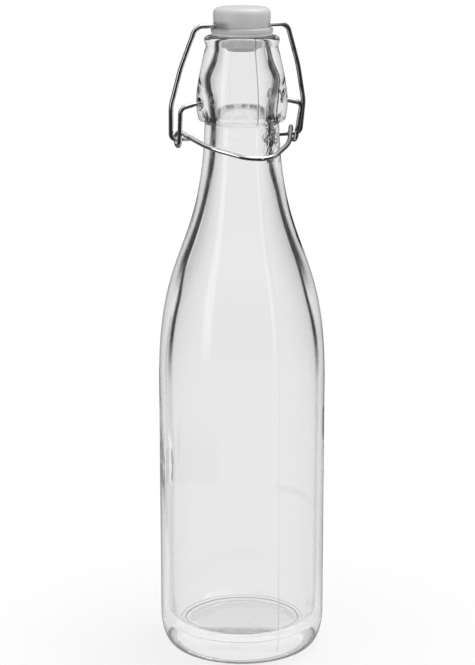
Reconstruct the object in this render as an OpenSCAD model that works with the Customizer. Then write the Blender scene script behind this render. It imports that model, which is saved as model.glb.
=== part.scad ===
// Swing-top glass bottle: the bottle, its wire lever and bail, and the stopper with its gasket.
// Millimetres. The table is z = 0, the bottle's axis is Z, the hinges turn about X, and the
// handle is at the front, towards -Y. Everything is drawn with the bottle closed.

/* [Bottle body] */
// Outer diameter of the straight body
body_d = 68; // [60:0.5:76]
// Height at which the straight body ends and the shoulder begins
body_h = 113.9; // [100:0.1:130]
// Glass thickness of the body
body_wall = 2.7; // [2.4:0.1:4]
// Mean diameter of the ring that the bottle stands on
foot_d = 54.2; // [50:0.1:57]
// Width of that ring
foot_w = 2; // [1.4:0.1:3]
// Height of the rounded heel
heel_h = 13.4; // [10:0.1:15]
// Rise of the base's middle above the table
punt_h = 5; // [3:0.1:6]
// Glass thickness at the middle of the base
base_t = 6.4; // [5:0.1:8]
// Glass thickness where the floor meets the heel
floor_t = 8.8; // [7:0.1:10]

/* [Shoulder and neck] */
// Height of the shoulder, from the straight body to the neck
shoulder_h = 93.4; // [80:0.1:105]
// Outer diameter of the neck where the shoulder ends
neck_low_d = 31; // [29:0.1:32.5]
// Outer diameter of the neck just under the head
neck_top_d = 29.7; // [28.5:0.1:31]
// Height of the neck, from the shoulder to the head
neck_h = 12.9; // [10:0.1:16]
// Glass thickness of the neck
neck_wall = 4.1; // [3:0.1:4.4]
// Radius of the fillet between the neck and the head's underside
neck_fillet = 0.9; // [0.6:0.1:1.2]

/* [Head of the bottle] */
// Height of the head, from its underside to the top of the lip
head_h = 33.9; // [32:0.1:37]
// Diameter of the head at the top of its lower corner
head_low_d = 35; // [34.4:0.1:36]
// Radius of the head's lower corner
head_corner = 1.6; // [1.2:0.1:1.8]
// How far the head swells beyond its lower corner, as the curve's reach
head_swell = 1.45; // [1:0.05:1.8]
// Diameter of the throat, just under the lip
throat_d = 28.7; // [27.6:0.1:29.4]
// Height of the lip bead, from the throat to the top
lip_h = 4.2; // [3.6:0.1:5]
// Outer diameter of the lip
lip_d = 30; // [29.6:0.1:31]
// Height of the lip's rounded outer edge
lip_round_h = 1.4; // [1:0.1:1.8]
// Height of the lip's rounded inner edge
mouth_round_h = 1.8; // [1.4:0.1:2.2]
// Width of the level ring on top of the lip
lip_land_w = 0.6; // [0.4:0.1:0.9]
// Diameter of the mouth
mouth_d = 18.6; // [17.8:0.1:19]
// Depth of the straight mouth below the top of the lip
mouth_depth = 4.8; // [4:0.1:6]
// Widest inner diameter of the head
chamber_d = 25.8; // [24.6:0.1:26.2]
// Inner diameter of the waist between the head and the neck
waist_d = 21.4; // [20.2:0.1:22.6]

/* [Dimples] */
// Height of the lever's hinge axis above the head's underside
pivot_up = 7.5; // [7:0.1:8.5]
// Distance of a dimple's bottom from the bottle's axis
dimple_r = 14.7; // [14.4:0.1:15]
// Diameter of a dimple's rounded entry, at the glass
dimple_entry_d = 4.4; // [3.6:0.1:5]

/* [Wires] */
// Diameter of the wire of the lever and the bail
wire_d = 1.9; // [1.7:0.05:1.95]
// Radial clearance of a wire that turns in a hole
wire_play = 0.07; // [0.03:0.01:0.1]

/* [Lever] */
// Gap between the end of a lever pin and the bottom of its dimple
pin_end_gap = 0.5; // [0.3:0.1:0.8]
// Distance from the bottle's axis at which a pin leaves the hinge line
pin_reach = 19.6; // [19.2:0.1:20.5]
// Distance of the lever's outer corners from the bottle's axis
lever_half_w = 25.9; // [25.4:0.1:26.2]
// How far those corners lie below the hinge line
lever_corner_drop = 1.5; // [1:0.1:2]
// Bend radius of those corners
lever_corner_r = 2.6; // [2.2:0.1:3.2]
// How far the eyes' centres lie below the hinge line
eye_drop = 14.5; // [13.8:0.1:15.2]
// How far the eyes' centres lie behind the hinge line
eye_back = 6.3; // [5.8:0.1:6.6]
// Radius of an eye, to the middle of its wire
eye_r = 2.6; // [2.55:0.05:2.9]
// Distance of an eye's front from the bottle's axis
eye_front_x = 25; // [24.8:0.1:25.3]
// Distance of an eye's back from the bottle's axis
eye_back_x = 24.9; // [24.8:0.1:25]
// Distance in front of the hinge line that the handle reaches
handle_front = 21.1; // [20.6:0.1:22.2]
// How far the front of the handle lies below the hinge line
handle_drop = 19.9; // [19.2:0.1:20.6]
// Bend radius of the handle's front corners
handle_front_r = 10.5; // [9:0.1:10.8]
// Bend radius of the handle's side corners
handle_side_r = 30; // [20:1:34]

/* [Bail] */
// Distance of the bail's top corners from the bottle's axis
bail_top_half_w = 19.3; // [18.8:0.1:20]
// Bend radius of the top corners
bail_top_r = 4; // [3:0.1:5]
// Distance of the bail's widest points from the bottle's axis
bail_half_w = 28.4; // [28.2:0.1:29]
// Bend radius at the widest points
bail_knee_r = 14; // [8:1:18]
// Bend radius of the bow above them
bail_bow_r = 40; // [20:1:60]
// Distance of the bail's feet from the bottle's axis
bail_foot_half_w = 27.8; // [27.7:0.1:28.2]
// Bend radius of the feet
bail_foot_r = 2.4; // [2:0.1:2.8]
// Distance of the ends of the bail's pins from the bottle's axis
bail_pin_end = 18; // [17.4:0.1:19]

/* [Stopper] */
// Height of the bail's hole above the top of the lip
hole_up = 4; // [3.9:0.05:4.4]
// Diameter of the stopper's drum at its widest, near the top
drum_d = 22.9; // [22.4:0.1:24]
// Diameter of the drum where it stands on the flange
drum_low_d = 22; // [21:0.1:22.3]
// Height of the drum above its flange
drum_h = 8.4; // [7.4:0.1:9]
// Radius of the drum's top edge
drum_round = 2.6; // [1.6:0.1:3]
// How far the drum's top is crowned
drum_crown = 0.4; // [0.2:0.1:0.7]
// Diameter of the flange
flange_d = 24.7; // [24:0.1:26]
// Thickness of the flange
flange_t = 1.8; // [1.5:0.1:1.9]
// Radius of the flange's upper edge
flange_round = 0.5; // [0.3:0.1:0.8]
// Diameter of the stem
stem_d = 11.2; // [10:0.1:12]
// Diameter of the bead at the stem's end
bead_d = 12.6; // [12.2:0.1:13.4]
// Height of that bead
bead_h = 2.4; // [2:0.1:2.8]

/* [Gasket] */
// Height of the flange above the lip, which the gasket fills
seal_h = 1.3; // [1.2:0.05:1.5]
// Gap between the gasket and the lip or the mouth
seal_gap = 0.15; // [0.1:0.01:0.2]
// Diameter of the gasket's washer
washer_d = 24.2; // [23.6:0.1:25]
// Diameter of the gasket's plug at its top
plug_top_d = 17.6; // [17:0.1:17.7]
// Diameter of the gasket's plug at its bottom
plug_low_d = 15.6; // [15:0.1:16.4]
// Depth of the plug below the top of the lip
plug_depth = 4.1; // [3.6:0.1:4.4]
// Radius of the washer's outer edges
washer_round = 0.35; // [0.2:0.05:0.5]
// Radial gap between the gasket and the stem
stem_gap = 0.05; // [0.03:0.01:0.1]

/* [Hidden] */
$fn = 72;

// Levels and radii that follow from the sizes above
z_shoulder_end = body_h + shoulder_h;
z_head = z_shoulder_end + neck_h;
z_lip = z_head + head_h;
z_throat = z_lip - lip_h;
z_pivot = z_head + pivot_up;
z_eye = z_pivot - eye_drop;
z_hole = z_lip + hole_up;
z_flange = z_lip + seal_h;
body_r = body_d / 2;
wire_r = wire_d / 2;
hole_r = wire_r + wire_play;
// Radius of the head's outside at the dimples
dimple_entry_r = head_low_d / 2 + head_swell / 2;

// How far a straight run of wire reaches into a bend, and how much thinner the bend is
run_overlap = 0.1;
bend_thinning = 0.005;

// Steps of a curve and of a rounded corner
curve_steps = 16;
round_steps = 6;

// Reach of the shoulder curve's two handles along its height, and the lean of the upper one.
// The lower handle of the inside is shorter, so the glass is thickest in the lower shoulder.
shoulder_reach_shares = [0.563, 0.451];
inner_shoulder_reach_share = 0.45;
shoulder_lean_share = 0.09;
// Handles of the head's outer curve, along its height and along the swell
swell_height_shares = [0.21, 0.424];
swell_width_shares = [1, 0.62];
// Handles of the lip's underside
bead_shares = [0.28, 0.5];
// Heights of the widest inside above the head's underside, and of the waist below it, by the head's
chamber_height_share = 0.44;
waist_drop_share = 0.05;
// Handles of the inner curves, along the height of each
inner_shares = [0.4, 0.6];
// Where the floor's edge lies, and the height of its rounding, by the body and the heel
floor_edge_share = 0.7;
floor_round_share = 0.7;
// Handles of the push-up and of the floor, which rises from a crease at its edge
punt_shares = [0.5, 0.92];
punt_height_share = 0.8;
floor_shares = [0.85, 0.45];
floor_height_share = 0.5;
// Corners of the handle: how far out the side corners and front corners lie, and how far forward
handle_side_share = 0.7;
handle_front_share = 0.19;
handle_side_forward_share = 0.557;
// Where the bail's bow and its widest point lie along its length, and the bow's width
bail_bow_share = 0.37;
bail_knee_share = 0.7;
bail_bow_width_share = 0.63;

// Point at share t of a cubic curve with four control points
function bezier(p, t) =
    pow(1 - t, 3) * p[0] + 3 * pow(1 - t, 2) * t * p[1] + 3 * (1 - t) * t * t * p[2] + pow(t, 3) * p[3];

// The points of that curve, from the one numbered first to the last
function bezier_points(p, first = 0, steps = curve_steps) = [for (i = [first:steps]) bezier(p, i / steps)];

// Points of an elliptic arc about centre c, from angle a to angle b
function arc_points(c, rx, rz, a, b) = [
    for (i = [0:round_steps])
        c + [rx * cos(a + (b - a) * i / round_steps), rz * sin(a + (b - a) * i / round_steps)]
];

function reversed(p) = [for (i = [len(p) - 1:-1:0]) p[i]];

// Control points of the shoulder between a lower and an upper radius
function shoulder(low_r, top_r, low_reach_share = shoulder_reach_shares[0]) = [
    [low_r, body_h],
    [low_r, body_h + shoulder_h * low_reach_share],
    [top_r + shoulder_h * shoulder_reach_shares[1] * shoulder_lean_share,
     z_shoulder_end - shoulder_h * shoulder_reach_shares[1]],
    [top_r, z_shoulder_end],
];

// Control points of an inner curve that starts and ends upright
function upright(p, q) = [
    p,
    [p[0], p[1] + (q[1] - p[1]) * inner_shares[0]],
    [q[0], p[1] + (q[1] - p[1]) * inner_shares[1]],
    q,
];

// The points of a list that lie above height z
function above(p, z) = [for (q = p) if (q[1] > z) q];

foot_in_r = (foot_d - foot_w) / 2;
foot_out_r = (foot_d + foot_w) / 2;
corner_c = [head_low_d / 2 - head_corner, z_head + head_corner];
swell_from = [head_low_d / 2, corner_c[1]];
swell_rise = z_throat - swell_from[1];
throat_p = [throat_d / 2, z_throat];
lip_from = [lip_d / 2, z_lip - lip_round_h];
land_in_r = (lip_d + mouth_d) / 4 - lip_land_w / 2;
land_out_r = land_in_r + lip_land_w;
mouth_p = [mouth_d / 2, z_lip - mouth_depth];
chamber_p = [chamber_d / 2, z_head + head_h * chamber_height_share];
waist_p = [waist_d / 2, z_head - head_h * waist_drop_share];
neck_in_p = [neck_low_d / 2 - neck_wall, z_shoulder_end];
body_in_r = body_r - body_wall;
floor_edge_r = body_in_r * floor_edge_share;
floor_round_h = heel_h * floor_round_share;
floor_top_z = punt_h + base_t;

outer_outline = concat(
    reversed(bezier_points([
        [foot_in_r, 0],
        [foot_in_r * punt_shares[1], punt_h * punt_height_share],
        [foot_in_r * punt_shares[0], punt_h],
        [0, punt_h],
    ])),
    arc_points([foot_out_r, heel_h], body_r - foot_out_r, heel_h, -90, 0),
    bezier_points(shoulder(body_r, neck_low_d / 2)),
    arc_points([neck_top_d / 2 + neck_fillet, z_head - neck_fillet], neck_fillet, neck_fillet, 180, 90),
    arc_points(corner_c, head_corner, head_corner, -90, 0),
    bezier_points([
        swell_from,
        swell_from + [head_swell * swell_width_shares[0], swell_rise * swell_height_shares[0]],
        swell_from + [head_swell * swell_width_shares[1], swell_rise * swell_height_shares[1]],
        throat_p,
    ], 1),
    bezier_points([
        throat_p,
        throat_p + [0, (lip_from[1] - throat_p[1]) * bead_shares[0]],
        [lip_from[0], throat_p[1] + (lip_from[1] - throat_p[1]) * bead_shares[1]],
        lip_from,
    ], 1, round_steps),
    above(arc_points([land_out_r, lip_from[1]], lip_from[0] - land_out_r, lip_round_h, 0, 90), lip_from[1])
);

inner_outline = concat(
    arc_points([land_in_r, z_lip - mouth_round_h], land_in_r - mouth_d / 2, mouth_round_h, 90, 180),
    bezier_points(upright(mouth_p, chamber_p)),
    bezier_points(upright(chamber_p, waist_p), 1),
    bezier_points(upright(waist_p, neck_in_p), 1),
    [for (i = [curve_steps - 1:-1:0])
        bezier(shoulder(body_in_r, neck_in_p[0], inner_shoulder_reach_share), i / curve_steps)],
    arc_points([floor_edge_r, floor_t + floor_round_h], body_in_r - floor_edge_r, floor_round_h, 0, -90),
    bezier_points([
        [floor_edge_r, floor_t],
        [floor_edge_r * floor_shares[0], floor_t + (floor_top_z - floor_t) * floor_height_share],
        [floor_edge_r * floor_shares[1], floor_top_z],
        [0, floor_top_z],
    ], 1)
);

// A dimple on the +X side: a round hole for the pin, flared at 45 degrees where it meets the glass
module dimple() {
    flare_w = dimple_entry_d / 2 - hole_r;
    translate([dimple_r, 0, z_pivot])
        rotate([0, 90, 0])
            cylinder(r = hole_r, h = body_r - dimple_r);
    translate([dimple_entry_r - flare_w, 0, z_pivot])
        rotate([0, 90, 0])
            cylinder(r1 = hole_r, r2 = hole_r + 2 * flare_w, h = 2 * flare_w);
}

module bottle_glass() {
    color("aliceblue", 0.45)
        difference() {
            rotate_extrude()
                polygon(concat(outer_outline, inner_outline));
            dimple();
            mirror([1, 0, 0])
                dimple();
        }
}

// Unit vector along v, and the way between two points
function unit(v) = v / norm(v);
function way(p, q) = unit(q - p);

// Bend angle at point b of a path, and the length that a bend of radius r takes from each side
function bend_angle(a, b, c) = acos(max(-1, min(1, way(a, b) * way(b, c))));
function bend_length(a, b, c, r) = r * tan(bend_angle(a, b, c) / 2);

// Straight lengths of a wire along a path of corners, each corner with its bend radius
function runs(path, radii) = [
    for (i = [0:len(radii)])
        norm(path[i + 1] - path[i])
            - (i == 0 ? 0 : bend_length(path[i - 1], path[i], path[i + 1], radii[i - 1]))
            - (i == len(radii) ? 0 : bend_length(path[i], path[i + 1], path[i + 2], radii[i]))
];

// Bends along the same path: how far the wire is rolled before each bend, and the bend's angle.
// x is the direction across the wire from which the roll is measured.
function bends(path, count, x, i = 0) =
    i == count ? []
    : let (
        z = way(path[i], path[i + 1]),
        v = way(path[i + 1], path[i + 2]),
        n = unit(v - (v * z) * z),
        a = bend_angle(path[i], path[i + 1], path[i + 2])
    ) concat([[atan2(n * cross(z, x), n * x), a]], bends(path, count, n * cos(a) - z * sin(a), i + 1));

// Round wire that starts along +Z, made of runs with a bend after each but the last.
// A run reaches a little into the bends beside it, which are a hair thinner.
module wire_chain(lengths, turns, radii, i = 0) {
    before = i == 0 ? 0 : run_overlap;
    after = i == len(turns) ? 0 : run_overlap;
    translate([0, 0, -before])
        cylinder(r = wire_r, h = before + lengths[i] + after);
    if (i < len(turns))
        translate([0, 0, lengths[i]])
            rotate([0, 0, turns[i][0]])
                translate([radii[i], 0, 0]) {
                    rotate([90, 0, 180])
                        rotate_extrude(angle = turns[i][1])
                            translate([radii[i], 0])
                                circle(r = wire_r - bend_thinning);
                    rotate([0, turns[i][1], 0])
                        translate([-radii[i], 0, 0])
                            wire_chain(lengths, turns, radii, i + 1);
                }
}

// A wire that is alike on both sides, from its middle at path[0], where it runs along X
module even_wire(path, radii) {
    turns = bends(path, len(radii), [0, 0, -1]);
    for (side = [0, 1])
        mirror([side, 0, 0])
            translate(path[0])
                rotate([0, 90, 0])
                    wire_chain(runs(path, radii), turns, radii);
}

// Corners of the lever's handle and of its eyes, on the +X side
handle_back_y = eye_back + eye_r;
handle_top_z = z_eye + eye_r;
handle_front_p = [eye_back_x * handle_front_share, -handle_front, z_pivot - handle_drop];
handle_side_p = [
    eye_back_x * handle_side_share,
    handle_back_y - (handle_back_y + handle_front) * handle_side_forward_share,
    handle_top_z + (handle_front_p[2] - handle_top_z) * handle_side_forward_share,
];
lever_corner = [lever_half_w, 0, z_pivot - lever_corner_drop];
// Steps in which the places of two of the eye's corners are found
eye_steps = 8;

// Height of the eye's upper back corner, for which the bend there starts level with its centre
function eye_turn_top(i, z) =
    i >= eye_steps ? z
    : eye_turn_top(i + 1, z_eye + bend_length(
        [eye_back_x, handle_back_y, z_eye], [eye_back_x, handle_back_y, z], handle_side_p, eye_r));

// Place of the eye's lower front corner, for which the bend there ends right under its centre
function eye_turn_front(i, y) =
    i >= eye_steps ? y
    : eye_turn_front(i + 1, eye_back - bend_length(
        lever_corner, [eye_front_x, y, z_eye - eye_r], [eye_back_x, handle_back_y, z_eye - eye_r], eye_r));

eye_low_front = [eye_front_x, eye_turn_front(0, eye_back - eye_r), z_eye - eye_r];
eye_low_back = [eye_back_x, handle_back_y, z_eye - eye_r];
eye_top_back = [eye_back_x, handle_back_y, eye_turn_top(0, z_eye + eye_r)];
// Corners of the lever on the +X side, from the middle of its handle to the pin in its dimple
lever_path = [
    [0, handle_front_p[1], handle_front_p[2]],
    handle_front_p,
    handle_side_p,
    eye_top_back,
    eye_low_back,
    eye_low_front,
    lever_corner,
    [pin_reach, 0, z_pivot],
    [dimple_r + pin_end_gap, 0, z_pivot],
];
lever_radii = [handle_front_r, handle_side_r, eye_r, eye_r, eye_r, lever_corner_r, lever_corner_r];

module lever_wire() {
    color("silver")
        even_wire(lever_path, lever_radii);
}

// Corners of the bail on the +X side, in the leaning plane from the stopper's hole to the eyes
function bail_p(x, share) = [x, eye_back * share, z_hole + (z_eye - z_hole) * share];

bail_path = [
    bail_p(0, 0),
    bail_p(bail_top_half_w, 0),
    bail_p(bail_top_half_w + (bail_half_w - bail_top_half_w) * bail_bow_width_share, bail_bow_share),
    bail_p(bail_half_w, bail_knee_share),
    bail_p(bail_foot_half_w, 1),
    bail_p(bail_pin_end, 1),
];
bail_radii = [bail_top_r, bail_bow_r, bail_knee_r, bail_foot_r];

module bail_wire() {
    color("silver")
        even_wire(bail_path, bail_radii);
}

z_drum = z_flange + flange_t;
z_drum_top = z_drum + drum_h;
drum_side_h = drum_h - drum_round - drum_crown;
bead_low_z = z_lip - plug_depth - bead_h;
bead_mid_z = bead_low_z + bead_h / 2;

stopper_outline = concat(
    [[0, bead_low_z]],
    arc_points([bead_d / 2 - bead_h / 2, bead_mid_z], bead_h / 2, bead_h / 2, -90, 0),
    above(arc_points([stem_d / 2, bead_mid_z], (bead_d - stem_d) / 2, bead_h / 2, 0, 90), bead_mid_z),
    [[stem_d / 2, z_flange], [flange_d / 2, z_flange]],
    arc_points([flange_d / 2 - flange_round, z_drum - flange_round], flange_round, flange_round, 0, 90),
    [for (i = [0:round_steps - 1]) [
        (drum_low_d + (drum_d - drum_low_d) * sin(90 * i / round_steps)) / 2,
        z_drum + drum_side_h * i / round_steps
    ]],
    arc_points([drum_d / 2 - drum_round, z_drum + drum_side_h], drum_round, drum_round, 0, 90),
    [[0, z_drum_top]]
);

// The bail's hole goes on as a shallow groove over the flange
module stopper() {
    color("white")
        difference() {
            rotate_extrude()
                polygon(stopper_outline);
            translate([0, 0, z_hole])
                rotate([0, 90, 0])
                    cylinder(r = hole_r, h = flange_d, center = true);
        }
}

washer_low_z = z_lip + seal_gap;
gasket_outline = concat(
    [[stem_d / 2 + stem_gap, z_lip - plug_depth], [plug_low_d / 2, z_lip - plug_depth]],
    [[plug_top_d / 2, washer_low_z]],
    arc_points([washer_d / 2 - washer_round, washer_low_z + washer_round], washer_round, washer_round, -90, 0),
    arc_points([washer_d / 2 - washer_round, z_flange - washer_round], washer_round, washer_round, 0, 90),
    [[stem_d / 2 + stem_gap, z_flange]]
);

module gasket() {
    color("gainsboro")
        rotate_extrude()
            polygon(gasket_outline);
}

bottle_glass();
lever_wire();
bail_wire();
stopper();
gasket();
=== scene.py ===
"""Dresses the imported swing-top bottle: clear glass, plated wires, a white stopper and its seal.

Lengths in the pieces' classes are in millimetres, as in the drawing of the part, and become metres
where meshes are made. The finishes and the studio hold metres. The table is z = 0, the bottle's axis
is Z and the handle is at -Y.
"""

import logging
import math
from collections.abc import Callable
from dataclasses import dataclass, field
from enum import Enum

import bpy
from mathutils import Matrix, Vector


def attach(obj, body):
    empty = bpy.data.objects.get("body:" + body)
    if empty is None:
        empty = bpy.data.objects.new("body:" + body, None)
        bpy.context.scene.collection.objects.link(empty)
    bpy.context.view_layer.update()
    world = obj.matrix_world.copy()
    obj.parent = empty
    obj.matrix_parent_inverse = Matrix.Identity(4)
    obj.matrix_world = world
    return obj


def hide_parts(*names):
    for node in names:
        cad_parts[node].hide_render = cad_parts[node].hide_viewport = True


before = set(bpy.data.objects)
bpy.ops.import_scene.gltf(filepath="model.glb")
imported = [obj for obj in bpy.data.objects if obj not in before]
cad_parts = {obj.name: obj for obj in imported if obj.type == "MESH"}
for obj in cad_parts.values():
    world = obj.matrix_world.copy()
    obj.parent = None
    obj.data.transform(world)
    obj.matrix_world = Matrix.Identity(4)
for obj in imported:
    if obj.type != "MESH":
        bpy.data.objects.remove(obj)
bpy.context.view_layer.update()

MM = 0.001
MERGE_WITHIN = 0.001 * MM
ORIGIN = Vector((0.0, 0.0, 0.0))
UPRIGHT = Vector((0.0, 0.0, 1.0))
SIDEWAYS = Vector((1.0, 0.0, 0.0))

# Turn of the photographed side round the bottle, from the handle's side.
PHOTO_TURN = math.radians(-21.0)

Colour = tuple[float, float, float]
Point = tuple[float, float]
Place = tuple[float, float, float]
# Where a smooth step begins and where it is complete.
Step = tuple[float, float]
# What a value is before a step and after it.
Change = tuple[float, float]
# Lower edge, upper edge, and the softness of both.
Band = tuple[float, float, float]

logger = logging.getLogger("bottle")


class Slot(Enum):
    """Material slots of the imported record."""

    GLASS = "glass"
    WIRE = "wire"
    STOPPER = "stopper"
    GASKET = "gasket"


class GlassSide(Enum):
    """The two faces of the bottle's wall, by the number of their material."""

    OUTSIDE = 0
    INSIDE = 1


# Shader networks


class Socket:
    """A shader value that Python's operators work on, each adding a Math node."""

    def __init__(self, net: "Net", output: bpy.types.NodeSocket) -> None:
        """Wraps an output socket of a network."""
        self.net = net
        self.output = output

    def _math(self, operation: str, *values: "Socket | float") -> "Socket":
        """Returns the result of a Math node on these values."""
        return self.net.value("Math", {"operation": operation}, dict(enumerate(values)))

    def __add__(self, other: "Socket | float") -> "Socket":
        """Returns self + other."""
        return self._math("ADD", self, other)

    __radd__ = __add__

    def __mul__(self, other: "Socket | float") -> "Socket":
        """Returns self * other."""
        return self._math("MULTIPLY", self, other)

    __rmul__ = __mul__

    def __sub__(self, other: "Socket | float") -> "Socket":
        """Returns self - other."""
        return self._math("SUBTRACT", self, other)

    def __rsub__(self, other: "Socket | float") -> "Socket":
        """Returns other - self."""
        return self._math("SUBTRACT", other, self)

    def __truediv__(self, other: "Socket | float") -> "Socket":
        """Returns self / other."""
        return self._math("DIVIDE", self, other)

    def __abs__(self) -> "Socket":
        """Returns the size of self without its sign."""
        return self._math("ABSOLUTE", self)

    def root(self) -> "Socket":
        """Returns the square root of self."""
        return self._math("SQRT", self)

    def greatest(self, other: "Socket | float") -> "Socket":
        """Returns the greater of self and other."""
        return self._math("MAXIMUM", self, other)

    def between(self, low: "Socket | float", high: "Socket | float") -> "Socket":
        """Returns low where self is 0, high where it is 1, and in proportion between them."""
        return low + (high - low) * self

    def step(self, low: float, high: float) -> "Socket":
        """Turns self into a smooth step.

        Args:
            low: Value at which the step begins.
            high: Value at which the step is complete. It may lie below low.

        Returns:
            0 before low, 1 past high, and a smooth rise between them.
        """
        if high < low:
            return 1 - self.step(high, low)
        return self.net.value(
            "MapRange",
            {"interpolation_type": "SMOOTHSTEP"},
            {0: self, 1: low, 2: high, 3: 0.0, 4: 1.0},
        )

    def band(self, low: float, high: float, edge: float) -> "Socket":
        """Returns 1 between low and high and 0 outside, each edge softened by edge to both sides."""
        return self.step(low - edge, low + edge) * self.step(high + edge, high - edge)


class Net:
    """The node network of one material or of the world."""

    def __init__(self, owner: bpy.types.Material | bpy.types.World) -> None:
        """Empties the owner's network."""
        owner.use_nodes = True
        self.tree = owner.node_tree
        self.tree.nodes.clear()

    def node(self, kind: str, settings: dict | None = None, sockets: dict | None = None) -> bpy.types.Node:
        """Adds a node, with its settings first and then its sockets.

        Args:
            kind: Node type without its "ShaderNode" beginning.
            settings: The node's own settings, by name.
            sockets: Values or Sockets by input name or number.

        Returns:
            The new node.
        """
        node = self.tree.nodes.new("ShaderNode" + kind)
        for name, value in (settings or {}).items():
            setattr(node, name, value)
        for name, value in (sockets or {}).items():
            entry = node.inputs[name]
            if isinstance(value, Socket):
                self.tree.links.new(value.output, entry)
            elif entry.type == "RGBA" and len(value) == 3:
                entry.default_value = (*value, 1.0)
            else:
                entry.default_value = value
        return node

    def value(
        self,
        kind: str,
        settings: dict | None = None,
        sockets: dict | None = None,
        out: int | str = 0,
    ) -> Socket:
        """Adds a node and returns one of its outputs.

        Args:
            kind: Node type without its "ShaderNode" beginning.
            settings: The node's own settings, by name.
            sockets: Values or Sockets by input name or number.
            out: Name or number of the output.

        Returns:
            The output as a Socket.
        """
        return Socket(self, self.node(kind, settings, sockets).outputs[out])

    def place(self) -> Socket:
        """Returns the place on the piece, in metres from the bottle's origin."""
        return self.value("TexCoord", out="Object")

    def axes(self, vector: Socket) -> tuple[Socket, Socket, Socket]:
        """Returns the three parts of a vector, in its own unit."""
        parts = self.node("SeparateXYZ", sockets={0: vector})
        return tuple(Socket(self, parts.outputs[i]) for i in range(3))

    def blend(self, share: Socket, first: Socket | Colour, second: Colour) -> Socket:
        """Returns a colour that goes from the first to the second as share goes from 0 to 1."""
        return self.value("Mix", {"data_type": "RGBA"}, {0: share, 6: first, 7: second}, out=2)

    def mixed(self, share: Socket, first: Socket, second: Socket) -> Socket:
        """Returns a surface that goes from the first to the second as share goes from 0 to 1."""
        return self.value("MixShader", sockets={0: share, 1: first, 2: second})

    def bump(self, height: Socket, metres: float) -> Socket:
        """Returns the normal of a surface raised by height times that many metres."""
        sockets = {"Height": height, "Distance": metres, "Strength": 1.0}
        return self.value("Bump", sockets=sockets, out="Normal")

    def glow(self, strength: float) -> Socket:
        """Returns a white surface that shines by itself."""
        return self.value("Emission", sockets={"Color": (1, 1, 1), "Strength": strength})

    def shader(self, sockets: dict) -> Socket:
        """Returns a Principled surface with these values or Sockets."""
        return self.value("BsdfPrincipled", sockets=sockets)

    def surface(self, shader: Socket) -> None:
        """Makes a shader the owner's surface."""
        kind = "OutputWorld" if isinstance(self.tree.id_data, bpy.types.World) else "OutputMaterial"
        self.node(kind, sockets={"Surface": shader})


@dataclass(frozen=True)
class Grain:
    """A fractal noise: cells to the metre, octaves and their weight, and cells along Z as a share."""

    cells: float
    detail: float = 2.0
    roughness: float = 0.5
    upright: float = 1.0

    def over(self, net: Net, place: Socket) -> Socket:
        """Adds the noise to a network.

        Args:
            net: The network.
            place: Place at which the noise is read.

        Returns:
            The noise, around 0.5.
        """
        if self.upright != 1.0:
            place = net.value("Mapping", sockets={"Vector": place, "Scale": (1.0, 1.0, self.upright)})
        return net.value(
            "TexNoise",
            {"noise_dimensions": "3D"},
            {"Vector": place, "Scale": self.cells, "Detail": self.detail, "Roughness": self.roughness},
        )


# The glass


class GlassSpot:
    """Shader values at a point of the glass: where it is, how wavy it is and how a ray meets it."""

    WAVE = Grain(38.0, detail=1.0, roughness=0.4, upright=0.45)
    CORD = Grain(210.0, detail=1.0, upright=0.12)

    def __init__(self, net: Net) -> None:
        """Adds the values to a network.

        Args:
            net: The network of one glass material.
        """
        self.net = net
        self.place = net.place()
        self.x, self.y, self.z = net.axes(self.place)
        self.beside = self.x * math.cos(PHOTO_TURN) + self.y * math.sin(PHOTO_TURN)
        self.ahead = self.x * math.sin(PHOTO_TURN) + self.y * -math.cos(PHOTO_TURN)
        self.wave = self.WAVE.over(net, self.place)
        self.cord = self.CORD.over(net, self.place)
        self.facing = net.value("LayerWeight", sockets={"Blend": 0.5}, out="Facing")
        self.within = net.value("NewGeometry", out="Backfacing")


@dataclass(frozen=True)
class MouldSeams:
    """Fine seams that the mould leaves, at the front and the back; the glass tints them dark as painted
    shade.
    """

    width: float = 0.42 * MM
    height_mm: float = 0.1
    body_turn: float = math.radians(5.0)
    above_foot: Step = (3 * MM, 8 * MM)
    low: Step = (60 * MM, 15 * MM)
    head: Step = (219.8 * MM, 220.2 * MM)
    front: Step = (0.0, -5 * MM)
    body_share: float = 0.12
    low_share: float = 0.35
    back_share: float = 0.2

    def strength(self, spot: GlassSpot) -> Socket:
        """Finds the seams.

        Args:
            spot: Values at the point of the glass.

        Returns:
            0 off the seams, up to 1 on the clearest.
        """
        head = spot.z.step(*self.head)
        turned = abs(spot.x * math.cos(self.body_turn) + spot.y * math.sin(self.body_turn))
        across = head.between(turned, abs(spot.x))
        clearness = head.between(self.body_share, 1.0) + self.low_share * spot.z.step(*self.low)
        front = spot.y.step(*self.front).between(self.back_share, 1.0)
        return across.step(self.width, 0.0) * clearness * front * spot.z.step(*self.above_foot)


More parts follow.
